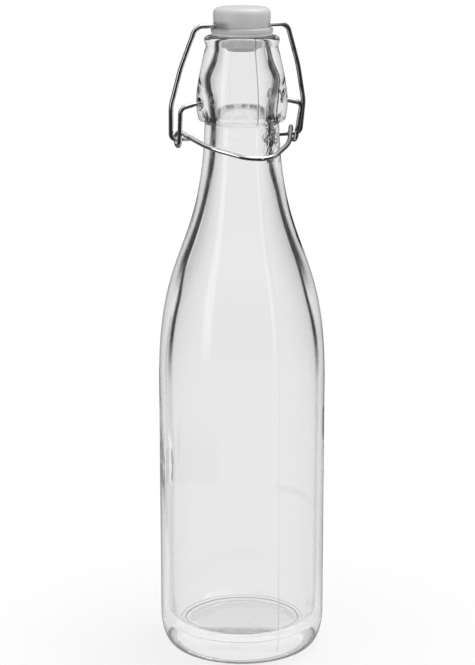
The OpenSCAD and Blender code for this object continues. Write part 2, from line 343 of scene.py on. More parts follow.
@dataclass(frozen=True)
class OuterFace:
    """The outside of the glass: its waves, clear places and painted shade.

    Facing is 0 where the face is seen head-on and 1 where it is seen edge-on.
    """

    seams: MouldSeams = MouldSeams()
    ledge: Band = (219.3 * MM, 222.2 * MM, 0.6 * MM)

    # Waves, a ripple on the ledge and the neck's right, and a swirl on the body's left.
    wave_mm: float = 0.25
    cord_mm: float = 0.02
    ripple: Grain = Grain(330.0)
    ripple_mm: float = 0.35
    neck_ripple: Band = (204 * MM, 218 * MM, 3 * MM)
    neck_ripple_beside: Step = (6 * MM, 9 * MM)
    swirl: Grain = Grain(130.0, upright=0.6)
    swirl_mm: float = 1.1
    swirl_band: Band = (74 * MM, 92 * MM, 7 * MM)
    swirl_beside: Step = (-27 * MM, -30.5 * MM)

    # Where light from within the wall passes unbent, and how much of it.
    ledge_clear: float = 0.85
    wall: Step = (110 * MM, 90 * MM)
    wall_clear: float = 0.25
    foot: Step = (34 * MM, 14 * MM)
    foot_clear: float = 0.5
    lip: Step = (250.5 * MM, 251.5 * MM)
    lip_clear: float = 0.5

    # Painted shade: the broken dark line of the ledge, a dark ring round the pins, and the edges and the
    # heel by their facing.
    ledge_line: Band = (220.5 * MM, 221.3 * MM, 0.3 * MM)
    ledge_line_breaks: Step = (0.38, 0.62)
    ledge_line_shades: Change = (0.3, 0.8)
    pin_height: float = 227.7 * MM
    pin_shade_ring: Band = (1.9 * MM, 2.6 * MM, 0.35 * MM)
    pin_ring_shade: float = 0.4
    heel: Step = (14 * MM, 4 * MM)
    heel_soft: Step = (0.45, 0.9)
    heel_soft_shade: float = 0.2
    heel_edge: Step = (0.7, 0.95)
    heel_edge_shade: float = 0.35
    upper: Step = (90 * MM, 170 * MM)
    soft: Step = (0.3, 0.6)
    soft_shades: Change = (0.02, 0.08)
    edge: Step = (0.72, 1.0)
    edge_shades: Change = (0.14, 0.3)

    def height(self, spot: GlassSpot, seams: Socket, ripple: Socket) -> Socket:
        """Adds up how far the face stands out.

        Args:
            spot: Values at the point of the glass.
            seams: Strength of the seams there.
            ripple: Noise of the ripples there.

        Returns:
            The height in millimetres.
        """
        neck = spot.beside.step(*self.neck_ripple_beside) * spot.z.band(*self.neck_ripple)
        swirled = spot.beside.step(*self.swirl_beside) * spot.z.band(*self.swirl_band)
        height = spot.wave * self.wave_mm + spot.cord * self.cord_mm + seams * self.seams.height_mm
        height = height + (spot.z.band(*self.ledge) + neck) * ripple * self.ripple_mm
        return height + swirled * self.swirl.over(spot.net, spot.place) * self.swirl_mm

    def clearness(self, spot: GlassSpot) -> Socket:
        """Finds the places where light from within the wall leaves it unbent.

        Args:
            spot: Values at the point of the glass.

        Returns:
            The share of that light.
        """
        low = self.wall_clear * spot.z.step(*self.wall) + self.foot_clear * spot.z.step(*self.foot)
        high = self.ledge_clear * spot.z.band(*self.ledge) + self.lip_clear * spot.z.step(*self.lip)
        return low + high

    def shade(self, spot: GlassSpot, ripple: Socket) -> Socket:
        """Adds up the painted shade of the face at its edges, at the ledge and round the lever's pins.

        Args:
            spot: Values at the point of the glass.
            ripple: Noise of the ripples there.

        Returns:
            The share of the face that is dark.
        """
        facing, upper = spot.facing, spot.z.step(*self.upper)
        heel = facing.step(*self.heel_soft) * self.heel_soft_shade
        heel = heel + facing.step(*self.heel_edge) * self.heel_edge_shade
        soft = facing.step(*self.soft) * upper.between(*self.soft_shades)
        edge = facing.step(*self.edge) * upper.between(*self.edge_shades)
        up = spot.z - self.pin_height
        # Painted shade: a dark ring round the lever's pins.
        pin_ring = (spot.y * spot.y + up * up).root().band(*self.pin_shade_ring)
        line = ripple.step(*self.ledge_line_breaks).between(*self.ledge_line_shades)
        outer = (1 - spot.within) * (soft + edge + spot.z.step(*self.heel) * heel)
        return outer + self.pin_ring_shade * pin_ring + spot.within * spot.z.band(*self.ledge_line) * line


@dataclass(frozen=True)
class InnerLines:
    """Dark lines of the inner face, drawn where light within the wall is about to be reflected wholly.

    Facing is 0 where the face is seen head-on and 1 where it is seen edge-on. A lean is added to it, and
    moves a line inwards, as a thicker wall would. Leans are those on the photographed side's left and
    right.
    """

    right_side: Step = (2 * MM, 8 * MM)
    low: Step = (166 * MM, 148 * MM)
    low_leans: Change = (0.042, 0.02)
    neck: Band = (199 * MM, 212 * MM, 8 * MM)
    neck_leans: Change = (0.02, 0.05)
    mouth: Band = (244.5 * MM, 251 * MM, 3 * MM)
    mouth_leans: Change = (0.0, -0.04)

    # The facing at which a line begins and ends, in the shoulder, below it and in the head.
    begins: Step = (0.245, 0.262)
    ends: Step = (0.36, 0.3)
    low_ends: Step = (0.288, 0.268)
    head: Step = (178 * MM, 215 * MM)
    head_begins: Step = (0.225, 0.25)
    head_ends: Step = (0.42, 0.31)
    head_strands: Change = (0.86, 1.0)

    # The frayed patch at the head's underside.
    patch: Band = (221.4 * MM, 225.0 * MM, 1.3 * MM)
    patch_fray: float = 1.6 * MM
    patch_begins: Step = (0.17, 0.24)
    patch_ends: Step = (0.75, 0.5)

    # How dark the lines and the bore's edges are, from the body up, and a paler place in the head.
    pale: Band = (228 * MM, 231 * MM, 2 * MM)
    pale_loss: float = 0.4
    fade: Step = (112 * MM, 138 * MM)
    darkness: Change = (0.12, 0.96)
    edge: Step = (0.15, 1.0)
    edge_fade: Step = (90 * MM, 170 * MM)
    edge_shades: Change = (0.07, 0.5)

    def _line(self, spot: GlassSpot, strands: Socket) -> Socket:
        """Draws the lines and the frayed patch under the head.

        Args:
            spot: Values at the point of the glass.
            strands: Upright strands in the glass, from 0 to 1.

        Returns:
            1 on a line and 0 off it.
        """
        right = spot.beside.step(*self.right_side)
        low = spot.z.step(*self.low)
        lean = spot.facing + spot.z.band(*self.neck) * right.between(*self.neck_leans)
        lean = lean + low * right.between(*self.low_leans)
        lean = lean + spot.z.band(*self.mouth) * right.between(*self.mouth_leans)
        line = lean.step(*self.begins) * low.between(lean.step(*self.ends), lean.step(*self.low_ends))
        wide = lean.step(*self.head_begins) * lean.step(*self.head_ends)
        line = spot.z.step(*self.head).between(line, wide * strands.between(*self.head_strands))
        patch = (spot.z + strands * self.patch_fray).band(*self.patch)
        patch = patch * spot.facing.step(*self.patch_begins) * spot.facing.step(*self.patch_ends)
        return line.greatest(patch)

    def shade(self, spot: GlassSpot, strands: Socket) -> Socket:
        """Adds up how dark the lines and the edges of the bore are.

        Args:
            spot: Values at the point of the glass.
            strands: Upright strands in the glass, from 0 to 1.

        Returns:
            The share of the face that is dark.
        """
        left_over = 1 - self.pale_loss * spot.z.band(*self.pale)
        darkness = (spot.z.step(*self.fade) * left_over).between(*self.darkness)
        edge_shade = (spot.z.step(*self.edge_fade) * left_over).between(*self.edge_shades)
        line = spot.within * self._line(spot, strands) * darkness
        return line + (1 - spot.within) * spot.facing.step(*self.edge) * edge_shade


@dataclass(frozen=True)
class FoldShade:
    """Painted shade of two faint fold lines in the far wall, and a faint painted darker band round the foot
    of the shoulder.
    """

    far: Step = (2 * MM, -4 * MM)
    waviness: float = 4 * MM
    right_beside: Step = (13 * MM, 17 * MM)
    right_band: Band = (59 * MM, 61 * MM, 2 * MM)
    right_shade: float = 0.09
    left_beside: Step = (-8 * MM, -14 * MM)
    left_slant: float = 0.33
    left_begins: Step = (70 * MM, 72.5 * MM)
    left_ends: Step = (105 * MM, 78 * MM)
    left_shade: float = 0.035
    round_band: Band = (130 * MM, 138 * MM, 16 * MM)
    round_shade: float = 0.03

    def shade(self, spot: GlassSpot) -> Socket:
        """Adds up the painted shade of the fold lines and the band.

        Args:
            spot: Values at the point of the glass.

        Returns:
            The share of the face that is dark.
        """
        wavy = spot.z + spot.wave * self.waviness
        slanted = wavy - spot.ahead * self.left_slant
        # Painted shade along the two fold lines of the far wall.
        right = spot.beside.step(*self.right_beside) * wavy.band(*self.right_band)
        left = slanted.step(*self.left_begins) * slanted.step(*self.left_ends)
        left = left * spot.beside.step(*self.left_beside)
        fold_shade = right * self.right_shade + left * self.left_shade
        return spot.ahead.step(*self.far) * fold_shade + spot.z.band(*self.round_band) * self.round_shade


@dataclass(frozen=True)
class FloorShade:
    """Painted shade on the floor seen from inside: two dark rings at its edge, a faint darker disc over its
    dome and a grey patch at the front.
    """

    below: Step = (14 * MM, 12 * MM)
    ring: Band = (23.8 * MM, 24.5 * MM, 0.25 * MM)
    ring_shade: float = 0.5
    outer_ring: Band = (25.6 * MM, 26.0 * MM, 0.2 * MM)
    outer_ring_shade: float = 0.25
    dome: Step = (23.5 * MM, 21 * MM)
    dome_shade: float = 0.06
    front_shade_ahead: Step = (13 * MM, 20 * MM)
    front_shade_within: Step = (26.5 * MM, 24.5 * MM)
    front_shade_middle: float = -2 * MM
    front_shade_reach: Step = (19 * MM, 11 * MM)
    front_shade_levels: Change = (0.26, 0.4)

    def shade(self, spot: GlassSpot, strands: Socket) -> Socket:
        """Adds up the painted shade of the rings, the disc and the front patch.

        Args:
            spot: Values at the point of the glass.
            strands: Upright strands in the glass, from 0 to 1.

        Returns:
            The share of the face that is dark.
        """
        radius = (spot.x * spot.x + spot.y * spot.y).root()
        rings = radius.band(*self.ring) * self.ring_shade
        rings = rings + radius.band(*self.outer_ring) * self.outer_ring_shade
        # Painted shade: a grey patch at the front of the floor.
        front_shade = spot.ahead.step(*self.front_shade_ahead) * radius.step(*self.front_shade_within)
        front_shade = front_shade * abs(spot.beside - self.front_shade_middle).step(*self.front_shade_reach)
        front_shade = front_shade * strands.between(*self.front_shade_levels)
        return (rings + radius.step(*self.dome) * self.dome_shade + front_shade) * spot.z.step(*self.below)


@dataclass(frozen=True)
class ClearGlass:
    """Clear moulded glass, with a finish and painted shade for each face of its wall."""

    tint: Colour = (0.914, 0.918, 0.917)
    # Dark tint of the seams, as painted shade.
    seam_shade_tint: Colour = (0.16, 0.165, 0.165)
    clear_tint: Colour = (0.95, 0.95, 0.95)
    # Colour of the painted shade that each face mixes into the glass.
    dark: Colour = (0.035, 0.035, 0.036)
    refraction: float = 1.5
    outer: OuterFace = OuterFace()
    lines: InnerLines = InnerLines()
    fold_shade: FoldShade = FoldShade()
    floor: FloorShade = FloorShade()
    inner_wave_mm: float = 0.9
    inner_cord_mm: float = 0.05
    strands: Grain = Grain(620.0, detail=1.0, upright=0.14)
    strand_edges: Step = (0.36, 0.56)

    def material(self, side: GlassSide) -> bpy.types.Material:
        """Makes the glass for one side of the wall.

        Args:
            side: The side of the wall that it covers.

        Returns:
            The material.
        """
        made = bpy.data.materials.new(f"clear_glass_{side.name.lower()}")
        net = Net(made)
        spot = GlassSpot(net)
        glass, shade = self._outside(spot) if side is GlassSide.OUTSIDE else self._inside(spot)
        # Painted shade: each face's shade mixes the dark surface into the glass.
        net.surface(net.mixed(shade, glass, net.value("BsdfDiffuse", sockets={"Color": self.dark})))
        return made

    def _glass(self, net: Net, tint: Socket | Colour, height: Socket) -> Socket:
        """Adds the clear glass itself.

        Args:
            net: The network of one side's material.
            tint: Colour of the light that passes.
            height: How far the face stands out, in millimetres.

        Returns:
            The glass.
        """
        return net.shader(
            {
                "Base Color": tint,
                "Roughness": 0.0,
                "IOR": self.refraction,
                "Transmission Weight": 1.0,
                "Normal": net.bump(height, MM),
            }
        )

    def _outside(self, spot: GlassSpot) -> tuple[Socket, Socket]:
        """Finishes the outer face.

        Args:
            spot: Values at the point of the glass.

        Returns:
            The glass, and the share of it that is dark.
        """
        net = spot.net
        seams = self.outer.seams.strength(spot)
        ripple = self.outer.ripple.over(net, spot.place)
        # Painted shade: the seams are tinted dark.
        tint = net.blend(seams, self.tint, self.seam_shade_tint)
        glass = self._glass(net, tint, self.outer.height(spot, seams, ripple))
        clear = net.value("BsdfRefraction", sockets={"Color": self.clear_tint, "Roughness": 0.0, "IOR": 1.0})
        glass = net.mixed(spot.within * self.outer.clearness(spot), glass, clear)
        return glass, self.outer.shade(spot, ripple)

    def _inside(self, spot: GlassSpot) -> tuple[Socket, Socket]:
        """Finishes the inner face.

        Args:
            spot: Values at the point of the glass.

        Returns:
            The glass, and the share of it that is dark.
        """
        height = spot.wave * self.inner_wave_mm + spot.cord * self.inner_cord_mm
        glass = self._glass(spot.net, self.tint, height)
        strands = self.strands.over(spot.net, spot.place).step(*self.strand_edges)
        fold_and_floor_shade = self.fold_shade.shade(spot) + self.floor.shade(spot, strands)
        return glass, self.lines.shade(spot, strands) + fold_and_floor_shade


# The other finishes


@dataclass(frozen=True)
class PlatedWire:
    """Bright plating on drawn steel wire, duller in clouds, and painted darker on the bottle's right as
    painted shade.
    """

    bright: Colour = (0.78, 0.78, 0.79)
    dull_and_shaded: Colour = (0.34, 0.34, 0.35)
    clouds: Grain = Grain(160.0, detail=3.0)
    cloudy: Step = (0.45, 0.75)
    cloud_share: float = 0.4
    shaded_side: Step = (6 * MM, 20 * MM)
    grain: Grain = Grain(2600.0)
    roughness: Change = (0.08, 0.18)
    grain_roughness: float = 0.04
    grain_height: float = 0.004 * MM
    cloud_bump: float = 0.5

    def material(self, name: str) -> bpy.types.Material:
        """Makes the plating for one wire.

        Args:
            name: Name of the wire.

        Returns:
            The material.
        """
        made = bpy.data.materials.new(f"plating_{name}")
        net = Net(made)
        place = net.place()
        cloud, grain = self.clouds.over(net, place), self.grain.over(net, place)
        x, _, _ = net.axes(place)
        # Duller in clouds, and painted shade on the bottle's right.
        dullness_and_shade = cloud.step(*self.cloudy) * self.cloud_share + x.step(*self.shaded_side) * (1 - self.cloud_share)
        net.surface(
            net.shader(
                {
                    "Base Color": net.blend(dullness_and_shade, self.bright, self.dull_and_shaded),
                    "Metallic": 1.0,
                    "Roughness": dullness_and_shade.between(*self.roughness) + self.grain_roughness * grain,
                    "Normal": net.bump(grain + self.cloud_bump * cloud, self.grain_height),
                }
            )
        )
        return made


@dataclass(frozen=True)
class WhiteMoulding:
    """Slightly translucent white plastic, with painted shade where the wire shows faintly by its hole and
    towards the bottom.
    """

    pale: Colour = (0.77, 0.775, 0.78)
    # Colour of the deeper clouds, and of the painted shade towards the bottom.
    deep: Colour = (0.62, 0.625, 0.63)
    clouds: Grain = Grain(140.0, detail=3.0)
    cloudy: Step = (0.35, 0.7)
    cloud_share: float = 0.3
    shaded_lower: Step = (266 * MM, 258 * MM)
    wire_shade_colour: Colour = (0.22, 0.22, 0.23)
    wire_shade: float = 0.75
    hole_height: float = 258.1 * MM
    hole_beside: Step = (7.2 * MM, 10.4 * MM)
    hole_reach: Step = (2.4 * MM, 0.6 * MM)
    grain: Grain = Grain(1900.0)
    roughness: Change = (0.34, 0.46)
    glow_depth: float = 2.5 * MM
    glow_share: float = 0.25
    refraction: float = 1.49
    bump_height: float = 0.02 * MM
    grain_bump: float = 0.5
    cloud_bump: float = 2.0

    def material(self) -> bpy.types.Material:
        """Makes the plastic of the stopper.

        Returns:
            The material.
        """
        made = bpy.data.materials.new("white_moulding")
        net = Net(made)
        place = net.place()
        x, _, z = net.axes(place)
        cloud, grain = self.clouds.over(net, place), self.grain.over(net, place)
        # Painted shade where the wire runs inside the plastic by its hole, and towards the bottom.
        wire_shade_mask = abs(x).step(*self.hole_beside) * abs(z - self.hole_height).step(*self.hole_reach)
        clouds_and_shade = cloud.step(*self.cloudy) * self.cloud_share + z.step(*self.shaded_lower) * (1 - self.cloud_share)
        base = net.blend(clouds_and_shade, self.pale, self.deep)
        net.surface(
            net.shader(
                {
                    "Base Color": net.blend(wire_shade_mask * self.wire_shade, base, self.wire_shade_colour),
                    "Roughness": grain.between(*self.roughness),
                    "Subsurface Weight": self.glow_share,
                    "Subsurface Radius": (self.glow_depth,) * 3,
                    "Subsurface Scale": 1.0,
                    "IOR": self.refraction,
                    "Normal": net.bump(grain * self.grain_bump + cloud * self.cloud_bump, self.bump_height),
                }
            )
        )
        return made


@dataclass(frozen=True)
class PaleRubber:
    """Soft pale grey rubber with a dusty surface."""

    pale: Colour = (0.84, 0.845, 0.85)
    deep: Colour = (0.76, 0.765, 0.77)
    clouds: Grain = Grain(260.0, detail=3.0)
    cloudy: Step = (0.35, 0.7)
    grain: Grain = Grain(2400.0, detail=3.0)
    roughness: Change = (0.55, 0.75)
    grain_height: float = 0.03 * MM

    def material(self) -> bpy.types.Material:
        """Makes the rubber of the gasket.

        Returns:
            The material.
        """
        made = bpy.data.materials.new("pale_rubber")
        net = Net(made)
        place = net.place()
        cloud, grain = self.clouds.over(net, place), self.grain.over(net, place)
        net.surface(
            net.shader(
                {
                    "Base Color": net.blend(cloud.step(*self.cloudy), self.pale, self.deep),
                    "Roughness": grain.between(*self.roughness),
                    "Normal": net.bump(grain + cloud, self.grain_height),
                }
            )
        )
        return made


# Curves and modelling


def bezier(corners: list[Point], steps: int, first: int = 0) -> list[Point]:
    """Draws a cubic curve.

    Args:
        corners: The curve's four control points.
        steps: Number of steps along the curve.
        first: Number of the first point returned.

    Returns:
        Its points, from the one numbered first to the last.
    """
    points = []
    for i in range(first, steps + 1):
        t = i / steps
        weights = ((1 - t) ** 3, 3 * (1 - t) ** 2 * t, 3 * (1 - t) * t * t, t**3)
        points.append(tuple(sum(w * c[k] for w, c in zip(weights, corners)) for k in (0, 1)))
    return points


def arc(
    centre: Point,
    wide: float,
    high: float,
    start: float,
    end: float,
    steps: int = 8,
    first: int = 0,
) -> list[Point]:
    """Draws an elliptic arc.

    Args:
        centre: The arc's centre.
        wide: Its radius along the first axis.
        high: Its radius along the second axis.
        start: Angle of its start, in degrees.
        end: Angle of its end, in degrees.
        steps: Number of steps along it.
        first: Number of the first point returned.

    Returns:
        Its points, from the one numbered first to the last.
    """
    points = []
    for i in range(first, steps + 1):
        angle = math.radians(start + (end - start) * i / steps)
        points.append((centre[0] + wide * math.cos(angle), centre[1] + high * math.sin(angle)))
    return points


def deselect() -> None:
    """Leaves edit mode and deselects every object."""
    if bpy.context.object and bpy.context.object.mode != "OBJECT":
        bpy.ops.object.mode_set(mode="OBJECT")
    bpy.ops.object.select_all(action="DESELECT")


def finish_piece(name: str, smooth_angle: float) -> bpy.types.Object:
    """Closes, orients and smooths the mesh in edit mode, and names its object.

    Args:
        name: Name for the piece.
        smooth_angle: Angle in degrees up to which an edge is smooth.

    Returns:
        The piece.
    """
    bpy.ops.mesh.select_all(action="SELECT")
    bpy.ops.mesh.remove_doubles(threshold=MERGE_WITHIN)
    bpy.ops.mesh.normals_make_consistent(inside=False)
    bpy.ops.object.mode_set(mode="OBJECT")
    bpy.ops.object.shade_smooth_by_angle(angle=math.radians(smooth_angle))
    piece = bpy.context.object
    piece.name = piece.data.name = name
    return piece


def turned(
    name: str,
    outline: list[Vector],
    steps: int,
    centre: Vector = ORIGIN,
    axis: Vector = UPRIGHT,
    smooth_angle: float = 32,
) -> bpy.types.Object:
    """Draws an outline by extruding one point, and spins it into a solid.

    Args:
        name: Name for the piece.
        outline: Points of the outline in metres, from the axis back to the axis, or closed beside it.
        steps: Steps of the full turn.
        centre: A point on the axis.
        axis: Direction of the axis.
        smooth_angle: Angle in degrees up to which an edge is smooth.

    Returns:
        The piece.
    """
    deselect()
    bpy.ops.mesh.primitive_plane_add(size=MM, location=outline[0])
    bpy.ops.object.transform_apply(location=True, rotation=True, scale=True)
    bpy.ops.object.mode_set(mode="EDIT")
    bpy.ops.mesh.select_all(action="SELECT")
    bpy.ops.mesh.merge(type="CENTER")
    for before, after in zip(outline, outline[1:]):
        bpy.ops.mesh.extrude_region_move(TRANSFORM_OT_translate={"value": after - before})
    bpy.ops.mesh.select_all(action="SELECT")
    bpy.ops.mesh.spin(steps=steps, angle=math.tau, center=centre, axis=axis)
    return finish_piece(name, smooth_angle)


def upright_outline(points: list[Point]) -> list[Vector]:
    """Returns points of radius and height in millimetres as places in metres, on the +X side."""
    return [Vector((r * MM, 0.0, z * MM)) for r, z in points]


def cross_solid(name: str, profile: list[Point], height: float, steps: int = 40) -> bpy.types.Object:
    """Turns a solid round a line along X.

    Args:
        name: Name for the solid.
        profile: Its points of X and radius in millimetres, from the line back to the line.
        height: Height of that line in millimetres.
        steps: Steps of the full turn.

    Returns:
        The solid.
    """
    outline = [Vector((x * MM, 0.0, (height + r) * MM)) for x, r in profile]
    return turned(name, outline, steps, UPRIGHT * (height * MM), SIDEWAYS)


def cut_away(piece: bpy.types.Object, cutter: bpy.types.Object) -> None:
    """Cuts one solid out of another and removes the cutter.

    Args:
        piece: The solid that is cut.
        cutter: The solid that is taken out of it.
    """
    deselect()
    piece.select_set(True)
    bpy.context.view_layer.objects.active = piece
    cut = piece.modifiers.new("cut", "BOOLEAN")
    cut.operation = "DIFFERENCE"
    cut.solver = "EXACT"
    cut.object = cutter
    bpy.ops.object.modifier_apply(modifier=cut.name)
    bpy.data.objects.remove(cutter)


def bent_wire(
    name: str,
    corners: list[Vector],
    radii: list[float],
    radius: float,
    sides: int = 24,
    bend_step: float = 5.0,
    end_share: float = 0.25,
) -> bpy.types.Object:
    """Extrudes a round section along straight runs and spins it round the bends between them.

    Args:
        name: Name for the wire.
        corners: Corners of its path in metres.
        radii: Bend radius at each inner corner, in metres.
        radius: Radius of the wire, in metres.
        sides: Points round the section.
        bend_step: Turn of each step of a bend, in degrees.
        end_share: Rounding of the cut ends, as a share of the radius.

    Returns:
        The wire, with its two cut ends closed and rounded.
    """
    deselect()
    way = (corners[1] - corners[0]).normalized()
    bpy.ops.mesh.primitive_circle_add(
        vertices=sides,
        radius=radius,
        fill_type="NOTHING",
        location=corners[0],
        rotation=way.to_track_quat("Z", "Y").to_euler(),
    )
    bpy.ops.object.transform_apply(location=True, rotation=True, scale=True)
    bpy.ops.object.mode_set(mode="EDIT")
    bpy.ops.mesh.select_all(action="SELECT")
    at = corners[0].copy()
    for corner, after, bend in zip(corners[1:], corners[2:], radii):
        onward = (after - corner).normalized()
        angle = way.angle(onward)
        start = corner - way * (bend * math.tan(angle / 2))
        bpy.ops.mesh.extrude_region_move(TRANSFORM_OT_translate={"value": start - at})
        axis = way.cross(onward).normalized()
        centre = start + axis.cross(way) * bend
        steps = max(4, round(math.degrees(angle) / bend_step))
        bpy.ops.mesh.spin(steps=steps, angle=-angle, center=centre, axis=axis)
        at = corner + onward * (bend * math.tan(angle / 2))
        way = onward
    bpy.ops.mesh.extrude_region_move(TRANSFORM_OT_translate={"value": corners[-1] - at})
    bpy.ops.mesh.select_all(action="SELECT")
    bpy.ops.mesh.remove_doubles(threshold=MERGE_WITHIN)
    bpy.ops.mesh.fill_holes(sides=sides)
    bpy.ops.mesh.select_all(action="DESELECT")
    bpy.ops.mesh.select_face_by_sides(number=4, type="GREATER")
    bpy.ops.mesh.bevel(offset=end_share * radius, segments=3, affect="EDGES")
    return finish_piece(name, smooth_angle=40)


def both_sides(half: list[Vector]) -> list[Vector]:
    """Returns a whole symmetric path from its +X half, which starts in the middle."""
    return [Vector((-p.x, p.y, p.z)) for p in reversed(half[1:])] + half[1:]


def settle(piece: bpy.types.Object, body: str, node: str) -> bpy.types.Object:
    """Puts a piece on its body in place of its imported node.

    Args:
        piece: The finished piece.
        body: Body that it rides on.
        node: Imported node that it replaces.

    Returns:
        The piece.
    """
    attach(piece, body)
    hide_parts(node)
    return piece


# Pieces


@dataclass
class Bottle:
    """The glass bottle: body, shoulder, neck and head, one hollow piece."""

    body_r: float = 34.0
    body_h: float = 113.9
    body_wall: float = 2.7
    foot_in_r: float = 26.1
    foot_out_r: float = 28.1
    heel_h: float = 13.4
    punt_h: float = 5.0
    punt_shares: tuple[Point, Point] = ((0.92, 0.8), (0.5, 1.0))
    base_t: float = 6.4
    floor_t: float = 8.8
    floor_edge_share: float = 0.7
    floor_low_share: float = 0.8
    floor_shares: tuple[float, float] = (0.85, 0.45)
    shoulder_h: float = 93.4
    shoulder_low_share: float = 0.563
    shoulder_top_share: float = 0.451
    shoulder_flare_share: float = 0.09
    inner_shoulder_low_share: float = 0.45
    neck_low_r: float = 15.5
    neck_top_r: float = 14.85
    neck_h: float = 12.9
    neck_wall: float = 4.1
    neck_fillet: float = 0.9
    head_h: float = 33.9
    head_low_r: float = 17.5
    head_corner: float = 1.6
    head_swell: float = 1.45
    swell_shares: tuple[Point, Point] = ((1.0, 0.21), (0.62, 0.424))
    throat_r: float = 14.35
    lip_h: float = 4.2
    lip_r: float = 15.0
    lip_shares: tuple[float, float] = (0.28, 0.5)
    lip_round_h: float = 1.4
    mouth_round_h: float = 1.8
    lip_land_w: float = 0.6
    mouth_r: float = 9.3
    mouth_depth: float = 4.8
    chamber_r: float = 12.9
    chamber_share: float = 0.44
    waist_r: float = 10.7
    waist_share: float = 0.05
    ease_share: float = 0.4
    pivot_up: float = 7.5
    dimple_r: float = 14.7
    dimple_flare: tuple[Point, Point, Point] = ((14.7, 2.0), (15.9, 2.2), (18.1, 2.6))
    dimple_mouth: Point = (21.0, 3.6)
    pin_hole_r: float = 1.02
    pin_hole_share: float = 0.9
    punt_steps: int = 16
    wall_steps: int = 12
    shoulder_steps: int = 44
    turn_steps: int = 160
    glass: ClearGlass = field(default_factory=ClearGlass)

    @property
    def neck_from(self) -> float:
        """Height of the shoulder's end."""
        return self.body_h + self.shoulder_h

    @property
    def head_from(self) -> float:
        """Height of the head's underside."""
        return self.neck_from + self.neck_h

    @property
    def top(self) -> float:
        """Height of the top of the lip."""
        return self.head_from + self.head_h

    def _wall(self, radius: float, start: float, end: float) -> list[Point]:
        """Returns the points of a straight wall between two heights, without its ends."""
        return [(radius, start + (end - start) * i / self.wall_steps) for i in range(1, self.wall_steps)]

    def _shoulder(self, low_r: float, top_r: float, low_share: float) -> list[Point]:
        """Draws one face of the shoulder.

        Args:
            low_r: Radius at its lower end.
            top_r: Radius at its upper end.
            low_share: Reach of the curve's lower handle, as a share of the shoulder's height.

        Returns:
            Its points, from the lower end up.
        """
        reach = self.shoulder_h * self.shoulder_top_share
        corners = [
            (low_r, self.body_h),
            (low_r, self.body_h + self.shoulder_h * low_share),
            (top_r + reach * self.shoulder_flare_share, self.neck_from - reach),
            (top_r, self.neck_from),
        ]
        return bezier(corners, self.shoulder_steps)

    def _foot(self) -> list[Point]:
        """Draws the outside of the base.

        Returns:
            Its points, from the middle to the top of the heel.
        """
        handles = [(self.foot_in_r * r, self.punt_h * h) for r, h in self.punt_shares]
        punt = bezier([(self.foot_in_r, 0.0), *handles, (0.0, self.punt_h)], self.punt_steps)
        heel = (self.foot_out_r, self.heel_h)
        return punt[::-1] + arc(heel, self.body_r - self.foot_out_r, self.heel_h, -90, 0, 14)

    def _head(self) -> list[Point]:
        """Draws the outside of the head.

        Returns:
            Its points, from the fillet under it to the top of the lip.
        """
        corner_z = self.head_from + self.head_corner
        throat_z = self.top - self.lip_h
        rise = throat_z - corner_z
        lip_z = self.top - self.lip_round_h
        bead = lip_z - throat_z
        land_r = (self.lip_r + self.mouth_r + self.lip_land_w) / 2
        foot_r = self.head_low_r
        handles = [(foot_r + self.head_swell * r, corner_z + rise * h) for r, h in self.swell_shares]
        swell = [(foot_r, corner_z), *handles, (self.throat_r, throat_z)]
        low, high = self.lip_shares
        lip = [
            (self.throat_r, throat_z),
            (self.throat_r, throat_z + bead * low),
            (self.lip_r, throat_z + bead * high),
            (self.lip_r, lip_z),
        ]
        fillet = (self.neck_top_r + self.neck_fillet, self.head_from - self.neck_fillet)
        corner = (foot_r - self.head_corner, corner_z)
        return (
            arc(fillet, self.neck_fillet, self.neck_fillet, 180, 90)
            + arc(corner, self.head_corner, self.head_corner, -90, 0)
            + bezier(swell, 28, 1)
            + bezier(lip, 10, 1)
            + arc((land_r, lip_z), self.lip_r - land_r, self.lip_round_h, 0, 90, 8, 1)
        )

    def _outside(self) -> list[Point]:
        """Returns the outline of the outside, from the base's middle to the lip."""
        shoulder = self._shoulder(self.body_r, self.neck_low_r, self.shoulder_low_share)
        return self._foot() + self._wall(self.body_r, self.heel_h, self.body_h) + shoulder + self._head()

    def _eased(self, low: Point, high: Point, steps: int, first: int = 0) -> list[Point]:
        """Returns a curve that leaves one point and meets the next along the bottle's axis."""
        ease = (high[1] - low[1]) * self.ease_share
        return bezier([low, (low[0], low[1] + ease), (high[0], high[1] - ease), high], steps, first)

    def _inside(self) -> list[Point]:
        """Draws the outline of the inside.

        Returns:
            Its points, from the lip to the floor's middle.
        """
        land_r = (self.lip_r + self.mouth_r - self.lip_land_w) / 2
        wall_r = self.body_r - self.body_wall
        neck = (self.neck_low_r - self.neck_wall, self.neck_from)
        chamber = (self.chamber_r, self.head_from + self.head_h * self.chamber_share)
        waist = (self.waist_r, self.head_from - self.head_h * self.waist_share)
        mouth = (self.mouth_r, self.top - self.mouth_depth)
        lip = (land_r, self.top - self.mouth_round_h)
        edge_r = wall_r * self.floor_edge_share
        edge_h = self.heel_h * self.floor_edge_share
        edge_z = self.floor_t + edge_h
        middle = self.punt_h + self.base_t
        outer, inner = self.floor_shares
        floor = [
            (edge_r, self.floor_t),
            (edge_r * outer, (self.floor_t + middle) / 2),
            (edge_r * inner, middle),
            (0.0, middle),
        ]
        return (
            arc(lip, land_r - self.mouth_r, self.mouth_round_h, 90, 180)
            + self._eased(mouth, chamber, 20)
            + self._eased(chamber, waist, 18, 1)
            + self._eased(waist, neck, 12, 1)
            + self._shoulder(wall_r, neck[0], self.inner_shoulder_low_share)[-2::-1]
            + self._wall(wall_r, self.body_h, edge_z)
            + arc((edge_r, edge_z), wall_r - edge_r, edge_h, 0, -90, 12)
            + bezier(floor, 12, 1)
        )

